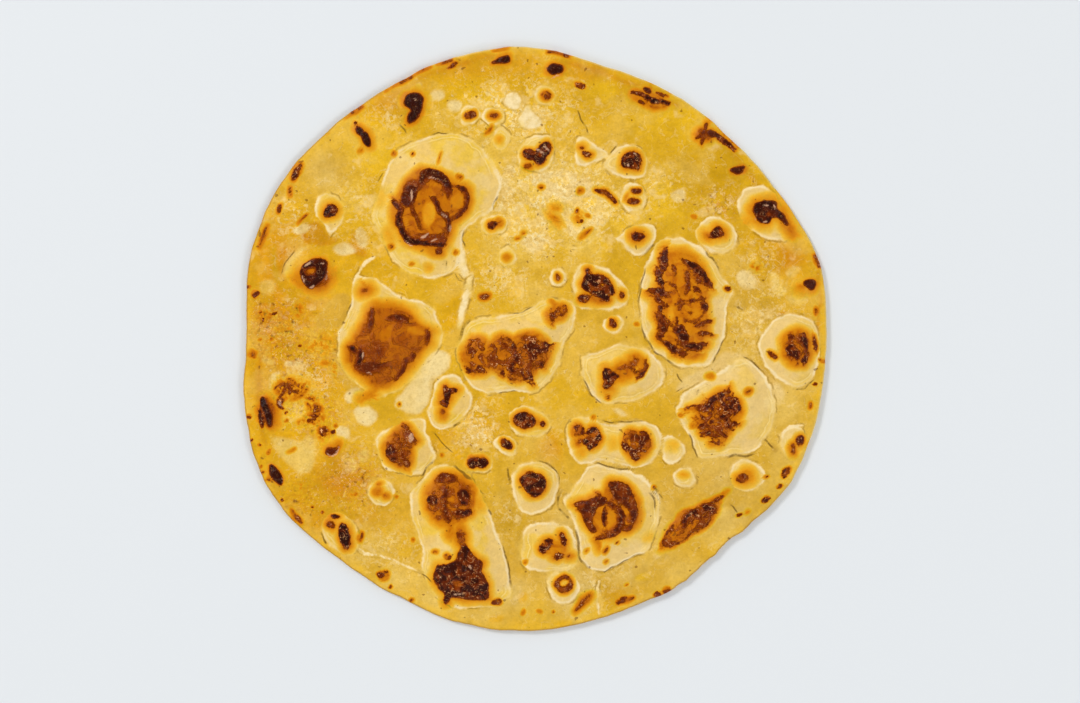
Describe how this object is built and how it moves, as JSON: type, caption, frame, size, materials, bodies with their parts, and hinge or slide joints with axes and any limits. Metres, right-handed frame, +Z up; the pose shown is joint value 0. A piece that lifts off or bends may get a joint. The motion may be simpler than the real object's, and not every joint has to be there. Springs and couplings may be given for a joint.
{
  "type": "paratha",
  "caption": "Round griddled flatbread, a thin hand-rolled sheet raised in browned, charred blisters, lying flat with its shown side up.",
  "frame": {"origin": "middle of the bread's outline, on the surface that it lies on", "axes": "+Z up through the thickness; +Y towards the top of the picture, +X to its right"},
  "size_m": [0.2106, 0.2118, 0.0075],
  "materials": {
    "crust": "oily golden dough with cream blister skin and toffee to black char"
  },
  "bodies": {
    "root": {"paratha": "crust"}
  },
  "joints": []
}
